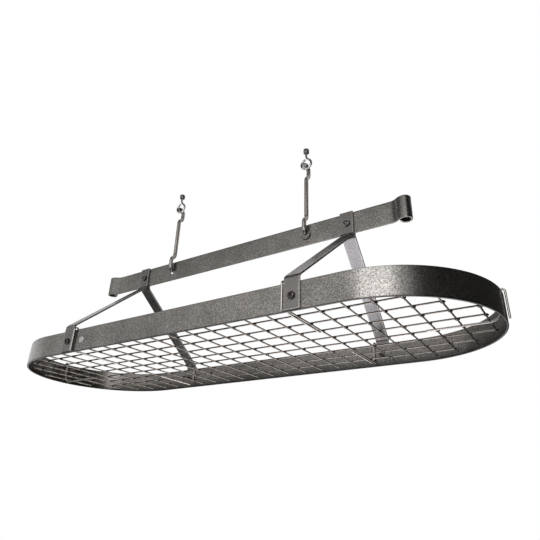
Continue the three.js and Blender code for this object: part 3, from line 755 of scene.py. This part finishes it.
def makeFasteners():
    middle = bandShape["height"] / 2
    grip = strapShape["thickness"] + bandShape["thickness"] + 3 * seatGap
    outer = strapShape["footY"] + strapShape["thickness"] / 2 + seatGap
    inner = bandOuter - bandShape["thickness"] - seatGap
    for faceName, face in faces:
        for sideName, side in sides:
            x, corner = side * footX, faceName + sideName
            tail = "_" + faceName.lower() + "_" + sideName.lower()
            makeBolt(boltShape, "bandBolt" + corner, grip, x, face * outer, middle, -face,
                     "band_bolt" + tail)
            makeNut(nutShape, "bandNut" + corner, x, face * inner, middle, -face, "band_nut" + tail)
    seat = strapShape["headY"] + strapShape["thickness"] / 2 + seatGap
    for sideName, side in sides:
        x, tail = side * headX, "_" + sideName.lower()
        makeBolt(boltShape, "barBolt" + sideName, 2 * seat, x, -seat, barMiddle, 1, "bar_bolt" + tail)
        makeNut(nutShape, "barNut" + sideName, x, seat, barMiddle, 1, "bar_nut" + tail)


# The stud is a low dome, a rim, a shank through the band and a flat tail behind it.
def makeStud(s):
    a = roundAngles(s["sides"])
    head, tail = bandOuter + seatGap, bandOuter - bandShape["thickness"] - seatGap
    t = np.linspace(0, math.pi / 2, 10)
    end = s["tailHeight"] - tail
    backRadii = [s["radius"], s["radius"] - 0.25, s["shank"], s["shank"], s["tail"], s["shank"], 0]
    backAlong = [-head - 0.2, -head, -head, -tail, -tail, end, end]
    radii = np.concatenate([s["radius"] * np.sin(t), backRadii])
    along = np.concatenate([-head - s["rim"] - s["crown"] * np.cos(t), backAlong])
    grid = turnedGrid(radii, along, a, (studX, 0, bandShape["height"] / 2), (0, 1, 0))
    # A darker ring on the smooth dome at about half its radius.
    ringSpread = (radii / s["radius"] - 0.55) / 0.16  # a ring in the dome's hollow
    grid["mark"] = np.exp(-ringSpread ** 2)[:, None]
    place(makeMesh("bandStud", [grid]), "rack", "bright_wire", "brightWire", "band_stud")


makeFasteners()
makeStud(studShape)
print("fasteners made")

shelfShape = {"pitch": 57.15, "radius": 2.0, "rim": 0.5, "sides": 12, "edgeGap": 10.0, "crossPerSide": 12,
              "longPerSide": 4, "crossHeight": 6.2, "longHeight": 9.9, "burntAndShaded": 4.4, "beadRadius": 4.7,
              "beadHeight": 3.5, "beadStretch": 1.15}


# A grille of straight wires on a square pitch. Past the oval's straight sides a cross wire's half length
# is the root of the end circle's radius squared less the distance squared.
def makeShelf(s):
    reachRadius = bandOuter - bandShape["thickness"] - s["edgeGap"]
    straight = bandShape["length"] / 2 - bandOuter
    crossX = np.arange(-s["crossPerSide"], s["crossPerSide"] + 1) * s["pitch"]
    longY = (np.arange(2 * s["longPerSide"]) - s["longPerSide"] + 0.5) * s["pitch"]
    reach = np.sqrt(reachRadius ** 2 - np.maximum(0, np.abs(crossX) - straight) ** 2)
    # Stations stand close together round each crossing, where the wire is marked darker: heat tint from the
    # weld and painted shade at the joint.
    steps = np.array([-9.0, -5.5, -3.2, -1.6, 0.0, 1.6, 3.2, 5.5, 9.0, 18.0, 28.0, 38.0])
    grids, beads = [], []

    def wire(lengthwise, at, half, height, crossings):
        stations = (crossings[:, None] + steps[None, :]).ravel()
        stations = np.unique(np.concatenate([[-half], stations[np.abs(stations) < half - 1], [half]]))
        nearest = np.abs(stations[:, None] - crossings[None, :]).min(1)
        points = np.stack([stations, np.zeros(len(stations))], 1)
        axes = ((1, 0, 0), (0, 1, 0)) if lengthwise else ((0, 1, 0), (-1, 0, 0))
        origin = (0, at, height) if lengthwise else (at, 0, height)
        grid = wireGrid(points, np.zeros(len(points)), origin, *axes, s)
        burntAndShaded = np.exp(-(nearest / s["burntAndShaded"]) ** 2)
        grid["mark"] = np.concatenate([np.zeros(4), burntAndShaded, np.zeros(4)])[:, None]
        grids.append(grid)

    for x, half in zip(crossX, reach):
        wire(False, x, half, s["crossHeight"], longY[np.abs(longY) < half - 2 * s["radius"]])
    for y in longY:
        met = crossX[reach >= abs(y) + 2 * s["radius"]]
        wire(True, y, np.abs(met).max() + s["radius"], s["longHeight"], met)
        beads += [(x, y) for x in met]
    # A weld bead at each crossing is a squat ball, squeezed out a little between the two wires.
    a, t = roundAngles(9), np.linspace(0, math.pi, 6)
    level = (s["crossHeight"] + s["longHeight"]) / 2
    for k, (x, y) in enumerate(beads):
        swell = 1 + 0.12 * math.sin(k * 2.4)
        radii, along = s["beadRadius"] * swell * np.sin(t), s["beadHeight"] * np.cos(t)
        grid = turnedGrid(radii, along, a, (x, y, level), (0, 0, 1))
        grid["points"][..., 0] = x + (grid["points"][..., 0] - x) * s["beadStretch"]
        # The whole bead takes the marked near black: heat tint and painted shade at the joint.
        grid["mark"] = 1.0
        grids.append(grid)
    place(makeMesh("wireShelf", grids), "shelf", "shelf_wire", "shelfWire", "wire_shelf")


makeShelf(shelfShape)
print("wire shelf made")

clipShape = {"radius": 2.4, "rim": 0.7, "sides": 20, "topRadius": 6.5, "footRadius": 25.0, "reach": 158.0,
             "topCentre": 62.5, "tailBottom": 3.0, "outerLeg": -5.5, "sideX": 336.0, "sideFinger": 5.2,
             "endFinger": 1.5, "spacing": 4.0}


# The clip's mid-line goes up outside the band, over its edge in a half circle, down inside it, and round
# a quarter circle into the finger that carries the shelf.
def makeClip(s, name, finger, origin, inwards, node):
    legs = [(s["topCentre"] - s["tailBottom"],), (s["topRadius"], -180),
            (s["topCentre"] - finger - s["footRadius"],), (s["footRadius"], 90),
            (s["reach"] - s["footRadius"],)]
    points, headings = walkLine(s["outerLeg"], s["tailBottom"], math.pi / 2, legs, s["spacing"])
    grid = wireGrid(points, headings, origin, inwards, (0, 0, 1), s)
    place(makeMesh(name, [grid]), "rack", "bright_wire", "clipWire", node)


for sideName, side in sides:
    for faceName, face in faces:
        clipPlace = (side * clipShape["sideX"], face * bandOuter, 0)
        makeClip(clipShape, "clip" + faceName + sideName, clipShape["sideFinger"], clipPlace, (0, -face, 0),
                 "clip_" + faceName.lower() + "_" + sideName.lower())
    makeClip(clipShape, "clipEnd" + sideName, clipShape["endFinger"],
             (side * bandShape["length"] / 2, 0, 0), (-side, 0, 0), "clip_end_" + sideName.lower())
print("clips made")

rodShape = {"radius": 6.35, "rim": 1.2, "sides": 32, "hookRadius": 14.0, "hookTurn": 150.0, "jogTurn": 53.0,
            "lowerEase": 19.0, "upperEase": 12.5, "lower": 341.2138, "upper": 550.65, "spacing": 4.0,
            "hookShadeRamp": 9.0}


# The rod's mid-line is a hook, a step to the side of two equal and opposite arcs, a straight run, a
# second step and the other hook, which closes the other way.
def makeRod(s, sideName, side):
    start, jogTurn = math.radians(s["hookTurn"] - 180), math.radians(s["jogTurn"])
    jogRadius = s["hookRadius"] / 2 / (1 - math.cos(jogTurn))
    length, middle = s["upper"] - s["lower"], (s["upper"] + s["lower"]) / 2
    straight = length - s["lowerEase"] - s["upperEase"] - 4 * jogRadius * math.sin(jogTurn)
    jog = [(jogRadius, -s["jogTurn"]), (jogRadius, s["jogTurn"])]
    legs = [(s["hookRadius"], -s["hookTurn"]), (s["lowerEase"],), *jog, (straight,), *jog,
            (s["upperEase"],), (s["hookRadius"], s["hookTurn"])]
    points, headings = walkLine(s["hookRadius"] * math.cos(start),
                                s["lower"] + s["hookRadius"] * math.sin(start), start - math.pi / 2, legs,
                                s["spacing"])
    origin = (side * barShape["hangX"], 0, 0)
    grid = wireGrid(points, headings, origin, (0, 1, 0), (0, 0, 1), s)
    # Painted shade, near black, where each hook is bent and bears on the eye or in the bar's hole.
    past = np.abs(grid["points"][..., 2].mean(1) - middle) - length / 2
    grid["mark"] = np.clip(past / s["hookShadeRamp"], 0, 1)[:, None]
    place(makeMesh("hangerRod" + sideName, [grid]), sideName.lower() + "_rod", "rod_steel", "rodSteel",
          "hanger_rod_" + sideName.lower())


for sideName, side in sides:
    makeRod(rodShape, sideName, side)
print("rods made")

eyeShape = {"radius": 3.5, "rim": 0.8, "sides": 28, "loopRadius": 16.5, "loopHeight": 571.0,
            "shoulder": 58.0, "tail": 100.0, "neckTop": 607.0, "spacing": 2.0}
collarShape = {"radius": 8.8, "height": 17.4, "taper": 4.5, "round": 1.6, "mouth": (3.8, 4.1), "sides": 64}


# The eye's mid-line comes down out of the collar, curves into the loop's shoulder, and the loop's arc
# closes back beside the neck.
def makeEye(s, sideName, side):
    shoulder = math.radians(s["shoulder"])
    neckRadius = s["loopRadius"] * math.cos(shoulder) / (1 - math.cos(shoulder))
    neckBottom = s["loopHeight"] + (s["loopRadius"] + neckRadius) * math.sin(shoulder)
    start = s["neckTop"] + collarShape["height"] / 2
    legs = [(start - neckBottom,), (neckRadius, s["shoulder"]),
            (s["loopRadius"], s["tail"] - s["shoulder"] - 360)]
    points, headings = walkLine(0, start, -math.pi / 2, legs, s["spacing"])
    origin = (side * barShape["hangX"], 0, 0)
    grid = wireGrid(points, headings, origin, (1, 0, 0), (0, 0, 1), s)
    place(makeMesh("ceilingEye" + sideName, [grid]), "ceiling_eyes", "bright_wire", "brightWire",
          "ceiling_eye_" + sideName.lower())


# The collar is turned: a mouth round the wire, a taper, a straight side and a rounded top edge.
def makeCollar(s, sideName, side):
    a = roundAngles(s["sides"])
    low, high, t = eyeShape["neckTop"], eyeShape["neckTop"] + s["height"], np.linspace(0, math.pi / 2, 6)
    radii = np.concatenate([[0, *s["mouth"], s["radius"] - 0.2, s["radius"]],
                            s["radius"] - s["round"] + s["round"] * np.cos(t), [0]])
    along = np.concatenate([[low, low, low, low + s["taper"], low + s["taper"] + 0.3],
                            high - s["round"] + s["round"] * np.sin(t), [high]])
    grid = turnedGrid(radii, along, a, (side * barShape["hangX"], 0, 0), (0, 0, 1))
    grid["mark"] = np.exp(-((along - low - s["taper"]) / 0.8) ** 2)[:, None] * 0.6
    place(makeMesh("eyeCollar" + sideName, [grid]), "ceiling_eyes", "bright_wire", "collarSteel",
          "ceiling_eye_" + sideName.lower())


for sideName, side in sides:
    makeEye(eyeShape, sideName, side)
    makeCollar(collarShape, sideName, side)
print("ceiling eyes made")


# A sheet of patchy grey between two shades, with the socket that sets how strongly it glows.
def makeSheet(name, finish, points, faces, s):
    material, tree, shader, coords = startMaterial(finish, 0.0, Roughness=s["roughness"])
    patch = useGroup(tree, "patches", coords, Size=s["patch"])
    dark, light = ((shade,) * 3 for shade in s["shades"])
    tree.links.new(toned(tree, patch.outputs["Tone"], dark, light), shader.inputs["Base Color"])
    shader.inputs["Emission Color"].default_value = (1, 1, 1, 1)
    mesh = bpy.data.meshes.new(name)
    mesh.from_pydata(points, [], faces)
    mesh.materials.append(material)
    return addObject(name, mesh), tree, shader.inputs["Emission Strength"]


floorShape = {"height": -1.8, "half": 6.0, "glow": 0.3, "shades": (0.80, 0.83), "roughness": 0.8,
              "patch": 1.5}
clothLook = {"roughness": 0.95, "patch": 3.0}


def makeFloor(s):
    signs = (-1, -1), (1, -1), (1, 1), (-1, 1)
    corners = [(i * s["half"], j * s["half"], s["height"]) for i, j in signs]
    floor, tree, glow = makeSheet("studioFloor", "paleFloor", corners, [(0, 1, 2, 3)], s)
    # A little of what it shows is its own glow, which lights nothing, so it is pale and keeps the shadow.
    tree.links.new(mathNode(tree, "MULTIPLY", shownRays(tree), s["glow"]), glow)


makeFloor(floorShape)


# Cards out of sight, which only the steel mirrors. Dark: round the right side, low behind, over the
# front, and on the floor in front and to the left. Grey: behind and to the left. Pale: over the back,
# and a faintly glowing one at the front left.
cards = {
    "rightCard": {"line": [(1.45, -1.15), (1.85, -0.5), (1.95, 0.4), (1.7, 1.4), (1.1, 1.95), (0.45, 2.15)],
                  "low": -1.8, "high": 1.3, "shade": 0.03},
    "backCard": {"line": [(0.6, 2.1), (-3.0, 2.1)], "low": -1.42, "high": -0.5, "shade": 0.04},
    "backLeftCard": {"line": [(0.2, 2.2), (-2.2, 2.2), (-2.9, 1.0)], "low": -0.35, "high": 0.95,
                     "shade": 0.25},
    "leftGapCard": {"line": [(-2.9, 1.0), (-2.75, -0.9)], "low": 0.12, "high": 0.95, "shade": 0.25},
    "topCard": {"line": [(1.6, 1.7), (-1.8, 1.7)], "low": 0.75, "deep": -1.9, "shade": 0.85},
    "topFrontCard": {"line": [(1.6, -0.22), (-2.2, -0.22)], "low": 0.75, "deep": -1.15, "shade": 0.08},
    "leftCard": {"line": [(-1.35, -2.0), (-2.45, -1.1)], "low": -0.7, "high": 1.2, "shade": 0.8,
                 "glow": 0.22},
    "floorCard": {"line": [(-3.0, -0.95), (0.6, -0.95)], "low": -1.72, "deep": -2.2, "shade": 0.04},
    "floorLeftCard": {"line": [(-3.0, 0.9), (-1.4, 0.9)], "low": -1.72, "deep": -1.85, "shade": 0.04},
}


# A card is a strip along a line on the plan, from its low to its high edge, or level and so deep.
def makeCard(name, s):
    line, count = s["line"], len(s["line"])
    near = [(x, y, s["low"]) for x, y in line]
    far = [(x, y + s.get("deep", 0), s.get("high", s["low"])) for x, y in line]
    quads = [(k, k + 1, count + k + 1, count + k) for k in range(count - 1)]
    look = {**clothLook, "shades": (s["shade"] * 0.9, s["shade"])}
    card, tree, glow = makeSheet(name, name + "Cloth", near + far, quads, look)
    glow.default_value = s.get("glow", 0)
    card.visible_camera = card.visible_diffuse = card.visible_shadow = card.visible_transmission = False


for cardName, cardSettings in cards.items():
    makeCard(cardName, cardSettings)

print("scene finished")
